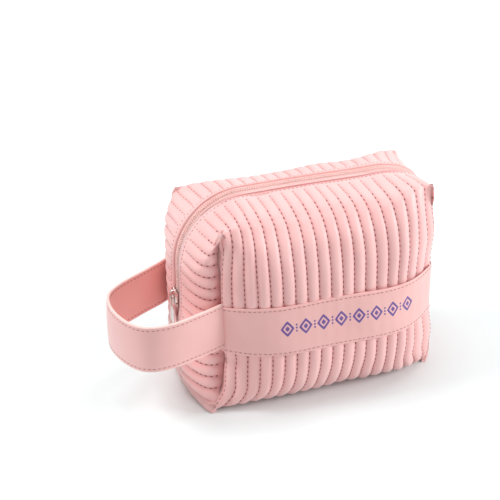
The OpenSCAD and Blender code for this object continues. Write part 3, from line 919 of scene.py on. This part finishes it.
def build_bindings():
    """Tapes over the raw edges of the four upright seams and of the base seam"""
    rings = pillow(BINDING_T, 0.5)
    upright = slab(rounded(BINDING_W, 112, 1.2), rings)
    corners = [(sx * 83.5, sy * 42.6, 84) for sx in (-1, 1) for sy in (-1, 1)]
    parts = [turned(upright, FACING_BACK, corner) for corner in corners]
    obj = make_mesh("seam_bindings", *join(parts), binding_cloth)
    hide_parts("corner_bindings")
    level = turned(slab(rounded(175, BINDING_W, 1.2), rings), LEVEL, (0, 0, 6.2))
    obj = make_mesh("base_seam_binding", *level, binding_cloth)
    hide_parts("base_binding")


build_bindings()


# ---------------------------------------------------------------- smooth bands
def band_profile():
    """Across the band: height from its middle, and how proud it is, from one tuck to the other"""
    half = BAND_W / 2
    edge = [(3.2, 0.3), (0.9, 0.35), (0.15, 0.75), (0.0, 1.25), (0.2, 1.75)]
    edge += [(0.8, 2.1), (1.7, 2.2), (2.45, 2.02), (3.1, 2.2)]
    low = [(d - half, proud) for d, proud in edge]
    middle = [(v, 2.25 + 0.12 * (1 - (v / half) ** 2)) for v in np.linspace(4.4 - half, half - 4.4, 17)]
    return np.array(low + middle + [(-v, proud) for v, proud in low[::-1]])


def build_band(side, which, seed):
    """A band from seam to seam: its points, normals, and the two scales of its grid"""
    profile = band_profile()
    tuck = np.array([0, 0.35, 0.8, 1.4, 2.2])
    s = np.concatenate([tuck, np.arange(3.4, STEM - 3.2, 1.6), STEM - tuck[::-1]])
    to_seam = np.minimum(s, STEM - s)
    rows = []
    for v, proud in profile:
        ribs = 0.07 * smooth(proud - 0.8) * np.cos(2 * np.pi * (s - FIRST_LINE) / RIB + np.pi)
        z = np.full(len(s), BAND_Z + v)
        x = share_x(s / STEM) * side_x(z, 0.0)
        y = -face_depth(x, z) - (proud - 2.9 * hump(to_seam, 1.25) + ribs)
        rows.append(np.stack([x, y, z], -1))
    points = np.concatenate(rows)
    points[:, 1] += 0.4 * waves(points, 70, seed) + 0.12 * waves(points, 22, seed + 1)
    points[:, 2] += 0.35 * waves(points * [1, 0, 0], 60, seed + 2)
    if side > 0:
        points[:, 1] *= -1
    points = settle(points)
    quads = grid_faces(len(profile), len(s), flip=side > 0)
    obj = make_mesh(which + "_smooth_band", points, quads, band_cloth)
    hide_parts(which + "_band")
    shape = (len(profile), len(s), 3)
    points, normal = points.reshape(shape), normals_of(points, quads).reshape(shape)
    rows = [(points[k, 3:-3], normal[k, 3:-3]) for k in (7, -8)]
    name = which + "_band_stitching"
    stitch_mesh(name, rows, band_thread, "smooth_leathercloth", seed + 3, 4.0, 2.7, 0.75, 0.28)
    return points, normal, profile[:, 0], s


front_band = build_band(*HALVES[0], 81)
build_band(*HALVES[1], 93)


def on_band(s, v):
    """Points and normals on the front band at distance s from the left seam and height v from its middle"""
    points, normals, across, along = front_band
    edge = 9  # rows of the turned edge, above and below
    i = np.interp(v, across[edge:-edge], np.arange(edge, len(across) - edge))
    j = np.interp(s, along, np.arange(len(along)))
    i0, j0 = np.floor(i).astype(int), np.minimum(np.floor(j).astype(int), len(along) - 2)
    a, b = (i - i0)[:, None], (j - j0)[:, None]
    near = [mix(g[i0, j0], g[i0 + 1, j0], a) for g in (points, normals)]
    far = [mix(g[i0, j0 + 1], g[i0 + 1, j0 + 1], a) for g in (points, normals)]
    return [mix(p, q, b) for p, q in zip(near, far)]


# A plain printed border of lozenges and dots: its ends along the band, and its height on it
PRINT_FROM, PRINT_TO, PRINT_V = 44.0, 166.0, 2.2
PRINT_COUNT = 8


def lozenge(cx, rx, ry, hole=0.02, power=1.8, n=24, up=0.0):
    """Outer and inner outline of one figure on the band"""
    a = np.linspace(0, 2 * np.pi, n, endpoint=False)
    x = np.sign(np.cos(a)) * abs(np.cos(a)) ** power * rx
    y = np.sign(np.sin(a)) * abs(np.sin(a)) ** power * ry
    shape = np.stack([x, y], -1)
    middle = [cx, PRINT_V + up]
    return shape + middle, shape * hole + middle


def build_print():
    pitch = (PRINT_TO - PRINT_FROM) / PRINT_COUNT
    figures = []
    for k in range(PRINT_COUNT):
        cx = PRINT_FROM + pitch * (k + 0.5)
        figures += [lozenge(cx, 5.6, 6.6, hole=0.62), lozenge(cx, 1.9, 2.3)]
        if k < PRINT_COUNT - 1:
            dot = {"power": 1.0, "n": 12}
            figures += [lozenge(cx + pitch / 2, 0.85, 0.85, up=up, **dot) for up in (-2.6, 0.0, 2.6)]
    rings = ((1.0, 0.0), (0.93, 0.08), (0.5, 0.09), (0.07, 0.08), (0.0, 0.0))  # share outwards, height
    parts = []
    for outer, inner in figures:
        layers = []
        for share, up in rings:
            p, n = on_band(*mix(inner, outer, share).T)
            layers.append(p + n * up)
        parts.append((np.concatenate(layers), grid_faces(len(rings), len(outer), wrap=True)))
    obj = make_mesh("band_print", *join(parts), print_ink)


build_print()


# ---------------------------------------------------------------- zip
COIL_IN = 1.25  # depth of the coil under the outline
PITCH = 2.0  # of the coil's turns
PATH_STEP = 0.5
# tape across: distance from the middle and depth; it rises from under the lip, a raised cord beside the coil
TAPE = [(0.3, 2.4), (1.4, 2.2), (2.6, 1.9), (3.2, 1.5), (3.7, 1.3)]
TAPE += [(4.3, 1.4), (5.2, 1.6), (7.5, 3.1), (11.0, 3.4)]
# one turn of the coil: distance from the middle and depth below the coil's face
COIL_TURN = np.array([(0.25, 1.0), (0.1, 0.45), (0.35, 0.12), (1.3, 0.0), (2.4, 0.1), (3.0, 0.5), (3.1, 1.0)])


def zip_path(low_left, low_right, inset):
    """The zip's middle line from height low_left over the top to height low_right, and its distances"""
    d, _, z = ring(1.0, inset)
    left, right = (np.interp(low, z[::-1], d[::-1]) for low in (low_left, low_right))
    s = np.arange(-left, right, PATH_STEP)
    x, z = on_ring(1.0, s, inset)
    return s, np.stack([x, np.zeros(len(s)), z], -1)


def build_tape(side, which):
    cols = 330
    rows = []
    for y, depth in TAPE:
        _, path = zip_path(57, 57, depth)
        row = path[np.linspace(0, len(path) - 1, cols).astype(int)]
        rows.append(row + [0, side * y, 0])
    quads = grid_faces(len(rows), cols, flip=side > 0)
    obj = make_mesh(which + "_zip_tape", settle(np.concatenate(rows)), quads, tape_cloth)
    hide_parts("zip_tape_" + which)


def build_coil(side, which):
    """One bent bar of nylon per turn, each half's turns between those of the other"""
    s, path = zip_path(77.9, 76.2, 0.0)
    along = unit(np.gradient(path, axis=0))
    out = np.stack([-along[:, 2], np.zeros(len(path)), along[:, 0]], -1)
    if out[len(out) // 2, 2] < 0:
        out = -out
    marks = np.arange(1.0, s[-1] - s[0] - 1, PITCH) + (PITCH / 2 if side > 0 else 0)
    bar, sides, radius = len(COIL_TURN), 6, 0.48
    slant = np.linspace(-0.18, 0.18, bar)[:, None]
    angle = circle(sides)[:, None]
    turns = []
    for mark in marks:
        k = min(int(mark / PATH_STEP), len(path) - 1)
        away, depth = COIL_TURN[:, :1] * [0, side, 0], COIL_TURN[:, 1:] + COIL_IN
        line = path[k] + away - depth * out[k] + slant * along[k]
        across = np.cross(unit(np.gradient(line, axis=0)), along[k])
        section = np.cos(angle) * along[k] + np.sin(angle) * across[:, None]
        turns.append(((line[:, None] + radius * section).reshape(-1, 3), tube_faces(bar, sides)))
    points, faces = join(turns)
    obj = make_mesh(which + "_zip_coil", settle(points), faces, coil_nylon)
    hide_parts("zip_coil_" + which)


for half in HALVES:
    build_tape(*half)
    build_coil(*half)


def metal_piece(name, parts, body, *nodes):
    obj = make_mesh(name, *join(parts), zip_metal, body)
    edges = obj.modifiers.new("edges", "EDGE_SPLIT")
    edges.split_angle = math.radians(48)
    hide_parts(*nodes)


def upright_plate(w, h, r, thickness, edge, place):
    return turned(slab(rounded(w, h, r), pillow(thickness, edge)), UPRIGHT, place)


FACE = -114.6  # face of the coil at the slider
PLATE = FACE - 0.3 - 1.2  # outer face of the slider's front plate
BEHIND = FACE + 1.9 + 0.3 + 0.6 + 0.3 + 1.15  # behind the coil, the tape, the back plate and the gaps
SLIDER_Z = 85.0
PULL_X = PLATE - 1.3  # axis of the pull
STOPS_Z, BOTTOM_STOP_Z = 76.2, 74.5


def build_stops():
    stops = [upright_plate(2.3, 2.8, 0.5, 1.9, 0.4, (FACE + 1.8, s * 1.8, STOPS_Z)) for s in (-1, 1)]
    metal_piece("top_stops", stops, "bag", "zip_top_stops")
    low_x = float(side_x(BOTTOM_STOP_Z, 1.0) - slack(BOTTOM_STOP_Z, 1.0))
    stop = upright_plate(5.8, 2.9, 0.6, 1.9, 0.4, (low_x + 0.6, 0, BOTTOM_STOP_Z))
    metal_piece("bottom_stop", [stop], "bag", "zip_bottom_stop")


def build_slider():
    """Two plates with shoulders at the top and a narrow tail, the wedge between them, and two lips"""
    right = [(3.2, -6.7), (3.9, -6.3), (4.5, -4.5), (4.8, -1.0), (4.8, 2.5)]
    right += [(4.5, 4.6), (3.6, 6.1), (2.2, 6.7), (0.9, 6.2)]
    outline = np.array(right + [(0.0, 5.7)] + [(-x, y) for x, y in right[::-1]])
    front_rings = [(0.45, 0.0), (0.1, 0.1), (0.0, 0.35), (0.0, 0.8), (0.12, 1.05), (0.5, 1.25)]
    parts = [
        turned(slab(outline, front_rings), UPRIGHT, (PLATE + 1.2, 0, SLIDER_Z)),
        turned(slab(outline * 0.92, pillow(1.1)), UPRIGHT, (BEHIND, 0, SLIDER_Z)),
        upright_plate(0.9, 4.6, 0.4, 4.6, 0.2, (FACE + 3.6, 0, SLIDER_Z - 3.0)),
    ]
    for s in (-1, 1):
        parts.append(upright_plate(1.35, 9.5, 0.5, 2.9, 0.45, (PLATE + 2.95, s * 4.1, SLIDER_Z - 0.6)))
    metal_piece("slider", parts, "slider", "slider_body")


def build_bridge():
    """A bent strip of oval section over the pull's bar"""
    rings, sides = 21, 10
    turn = np.linspace(0, np.pi, rings)
    x, z = PLATE + 0.3 - 3.55 * np.sin(turn) ** 0.55, SLIDER_Z + 4.6 * np.cos(turn)
    arch = np.stack([x, np.zeros(rings), z], -1)
    across = np.array([0, 1.0, 0])
    out = np.cross(unit(np.gradient(arch, axis=0)), across)
    angle = circle(sides)[:, None]
    half_wide, half_thick = (0.85 + 0.25 * np.sin(turn))[:, None, None], 0.5
    points = arch[:, None] + across * np.cos(angle) * half_wide + out[:, None] * np.sin(angle) * half_thick
    metal_piece("bridge", [(points.reshape(-1, 3), tube_faces(rings, sides))], "slider", "slider_bridge")


def build_pull():
    """An eye round the bridge and a long tongue with a raised rim"""
    right = [(1.9, 0.0), (2.6, -1.2), (3.5, -3.2), (3.9, -6.0)]
    right += [(4.0, -14.0), (3.8, -18.5), (2.9, -20.1), (1.2, -20.7)]
    tongue = np.array(right + [(-x, y) for x, y in right[::-1]])[::-1]
    rings = [(0.5, 0.0), (0.12, 0.12), (0.0, 0.45), (0.0, 0.95)]
    rings += [(0.12, 1.28), (0.5, 1.4), (0.95, 1.4), (1.15, 1.15)]
    parts = [turned(slab(tongue, rings), UPRIGHT, (PULL_X + 0.7, 0, SLIDER_Z - 6.3))]
    for s in (-1, 1):
        parts.append(upright_plate(1.25, 7.6, 0.5, 1.4, 0.45, (PULL_X + 0.7, s * 2.15, SLIDER_Z - 3.1)))
    bar = slab(rounded(1.5, 1.5, 0.74, 5), [(0.3, 0.0), (0.0, 0.3), (0.0, 4.7), (0.3, 5.0)])
    parts.append(turned(bar, FACING_BACK, (PULL_X, -2.5, SLIDER_Z)))
    metal_piece("pull", parts, "pull", "zip_pull")


build_stops()
build_slider()
build_bridge()
build_pull()


# ---------------------------------------------------------------- strap
STRAP_Z, STRAP_W, STRAP_T = 77.0, 40.0, 2.4
STRAP_LONGER = 1.04  # how much further out than the plan the loop reaches
ROOT = HALF_D + 1.6
# the loop seen from above, from the front seam out round the left end and back to the back seam
PLAN = np.array(
    [(2.5, -ROOT + 2.6), (-2, -ROOT), (-22, -58), (-45, -64), (-64, -61), (-75, -46), (-80, -22)]
    + [(-76.5, 0), (-64, 14), (-45, 26), (-25, 38), (-13, 46.5), (-2, ROOT), (2.5, ROOT - 2.6)],
    float,
)


def spline(points, steps):
    """A smooth curve through the points"""
    ends = np.vstack([2 * points[0] - points[1], points, 2 * points[-1] - points[-2]])
    out = []
    for k in range(1, len(ends) - 2):
        a, b, c, d = ends[k - 1 : k + 3]
        for t in np.linspace(0, 1, steps, endpoint=False):
            bent = t * t * (2 * a - 5 * b + 4 * c - d) + t**3 * (3 * b - a - 3 * c + d)
            out.append(0.5 * (2 * b + t * (c - a) + bent))
    return np.array(out + [points[-1]])


def strap_section():
    """Going round once: (height, distance out), each face's paint, and the four stitched places"""
    half, t = STRAP_W / 2, STRAP_T / 2
    outer = [(-half + 1.0, t), (-half + 2.0, t + 0.12), (-half + 2.9, t - 0.08), (-half + 3.8, t + 0.15)]
    outer += [(v, t + 0.15 + 0.25 * (1 - (v / half) ** 2)) for v in np.linspace(-half + 6, half - 6, 9)]
    outer += [(-v, out) for v, out in outer[:4][::-1]]
    rim = [(half - 0.35, t - 0.05), (half - 0.02, t - 0.45), (half, 0.0)]
    rim += [(v, -out) for v, out in rim[:2][::-1]]
    inner = [(half - 1.0, -t), (half - 2.9, -t + 0.08), (half - 4.5, -t)]
    inner += [(v, -t + 0.1 * (1 - (v / half) ** 2)) for v in np.linspace(half - 8, -half + 8, 6)]
    inner += [(-v, out) for v, out in inner[:3][::-1]]
    section = np.array(outer + rim + inner + [(-v, out) for v, out in rim[::-1]])
    paints = [0] * (len(outer) - 1) + [2] * (len(rim) + 1) + [1] * (len(inner) - 1) + [2] * (len(rim) + 1)
    inner_start = len(outer) + len(rim)
    stitched = (2, len(outer) - 3, inner_start + 1, inner_start + len(inner) - 2)
    return section, paints, stitched


def build_strap():
    line = spline(PLAN, 12) * [STRAP_LONGER, 1.0] + [-HALF_W, 0]
    along = unit(np.gradient(line, axis=0))
    out = np.stack([along[:, 1], -along[:, 0]], -1)
    far = len(line) // 2
    if (out[far] * (line[far] - [-HALF_W, 0])).sum() < 0:
        out = -out
    section, paints, stitched = strap_section()
    around = len(section)
    flat = np.zeros((len(line), around, 3))
    flat[:, :, 0:2] = line[:, None] + out[:, None] * section[None, :, 1:2]
    flat[:, :, 2] = STRAP_Z + section[None, :, 0]
    points = flat.reshape(-1, 3)
    # the loop droops a little towards its far end and its cloth is not quite even
    droop = 1.2 * smooth((-points[:, 0] - 110) / 60)
    points[:, 2] += 0.5 * waves(points * [1, 1, 0], 90, 7) - droop
    bend = 0.35 * waves(points, 60, 9) * smooth((-points[:, 0] - 96) / 20)
    points[:, :2] += np.repeat(out, around, 0) * bend[:, None]
    quads = grid_faces(len(line), around, wrap=True)
    normal = normals_of(points, quads)
    if (normal[far * around + 4, :2] * out[far]).sum() < 0:
        quads = quads[:, ::-1]
        normal = -normal
    last = (len(line) - 1) * around
    faces = [list(q) for q in quads] + [list(range(around)), list(range(last, last + around))]
    slots = [paints[k % around] for k in range(len(quads))] + [2, 2]
    # the inner side's darker pink is painted shade
    paint_list = [band_cloth, strap_inner_shaded, strap_rim]
    strap = make_mesh("hand_strap", points, faces, paint_list, body=None, slots=slots)
    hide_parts("strap_outer", "strap_padding", "strap_lining", "strap_end_front", "strap_end_back")
    points, normal = points.reshape(flat.shape), normal.reshape(flat.shape)
    rows = [(points[8:-8, k], normal[8:-8, k]) for k in stitched]
    sewn = ("smooth_leathercloth", 31, 4.0, 2.7, 0.75, 0.25)
    stitching = stitch_mesh("hand_strap_stitching", rows, band_thread, *sewn, body=None)
    for obj in (strap, stitching):
        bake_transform(obj)


build_strap()


# ---------------------------------------------------------------- stage, light and camera
FLOOR_HALF = 4.0
FADE_FROM, FADE_TO = 0.17, 0.50  # distances over which the floor fades into the white background
LENS = 95.4
CAMERA_TURN, CAMERA_TILT = math.radians(20.84), math.radians(26.54)
CAMERA_PLACE = (-0.39663, -0.91236, 0.60184)


def build_floor():
    white, tree, shader = new_material("floor_white")
    distance = add(tree, "ShaderNodeVectorMath", {0: object_place(tree)}, operation="LENGTH").outputs["Value"]
    fade = {0: distance, 1: FADE_FROM, 2: FADE_TO, 3: 0.03, 4: 0.7}
    fade = add(tree, "ShaderNodeMapRange", fade, interpolation_type="SMOOTHSTEP").outputs[0]
    seen = add(tree, "ShaderNodeLightPath").outputs["Is Camera Ray"]
    looks = {
        "Base Color": (0.80, 0.865, 0.87, 1),
        "Roughness": 0.9,
        "Specular IOR Level": 0.1,
        "Emission Color": (1, 1, 1, 1),
        "Emission Strength": times(tree, seen, fade),
    }
    feed(tree, shader, looks)
    mesh = bpy.data.meshes.new("floor")
    corners = [(sx * FLOOR_HALF, sy * FLOOR_HALF, 0) for sx, sy in ((-1, -1), (1, -1), (1, 1), (-1, 1))]
    mesh.from_pydata(corners, [], [(0, 1, 2, 3)])
    mesh.materials.append(white)
    floor = bpy.data.objects.new("floor", mesh)
    scene.collection.objects.link(floor)
    floor.location.z = -0.0002


def build_world():
    """White where the camera, a reflection or clear material sees it, softer as light on the bag"""
    world = bpy.data.worlds.new("studio")
    scene.world = world
    world.use_nodes = True
    tree = world.node_tree
    tree.nodes.clear()
    out = tree.nodes.new("ShaderNodeOutputWorld")
    ray = add(tree, "ShaderNodeLightPath").outputs
    soft = add(tree, "ShaderNodeBackground", {"Color": (1.0, 0.985, 0.975, 1), "Strength": 0.42})
    bright = add(tree, "ShaderNodeBackground", {"Color": (1, 1, 1, 1), "Strength": 1.0})
    mirrored = maths(tree, "MAXIMUM", ray["Is Glossy Ray"], ray["Is Transmission Ray"])
    seen = maths(tree, "MAXIMUM", ray["Is Camera Ray"], mirrored)
    both = add(tree, "ShaderNodeMixShader", {0: seen, 1: soft.outputs[0], 2: bright.outputs[0]})
    tree.links.new(both.outputs[0], out.inputs[0])


def area_light(name, where, target, size, power):
    light = bpy.data.lights.new(name, "AREA")
    light.shape, light.size, light.size_y = "RECTANGLE", size, size
    light.energy = power
    obj = bpy.data.objects.new(name, light)
    scene.collection.objects.link(obj)
    obj.rotation_mode = "QUATERNION"
    obj.rotation_quaternion = (Vector(target) - Vector(where)).to_track_quat("-Z", "Y")
    obj.location = where


def build_camera():
    """The photograph's camera, turned to the bag's left and looking down on it"""
    camera = bpy.data.cameras.new("photo_camera")
    camera.lens, camera.sensor_width, camera.sensor_fit = LENS, 36.0, "HORIZONTAL"
    camera.clip_start, camera.clip_end = 0.05, 20
    obj = bpy.data.objects.new("photo_camera", camera)
    scene.collection.objects.link(obj)
    level = math.cos(CAMERA_TILT)
    right = (math.cos(CAMERA_TURN), -math.sin(CAMERA_TURN), 0.0)
    back = (-math.sin(CAMERA_TURN) * level, -math.cos(CAMERA_TURN) * level, math.sin(CAMERA_TILT))
    rows = np.column_stack([right, np.cross(back, right), back, CAMERA_PLACE])
    obj.matrix_world = Matrix([*rows.tolist(), (0, 0, 0, 1)])
    scene.camera = obj


build_floor()
build_world()
area_light("top", (-0.05, 0.12, 1.3), (0, 0, 0), 0.8, 7.5)
area_light("front", (0.15, -0.75, 1.1), (0, 0, 0.08), 0.8, 0.8)
area_light("left", (-1.05, 0.25, 1.1), (0, 0, 0.08), 0.5, 8.8)
area_light("key", (1.25, -0.5, 0.52), (0, 0, 0.08), 0.5, 12.0)
build_camera()
scene.view_settings.view_transform = "Standard"
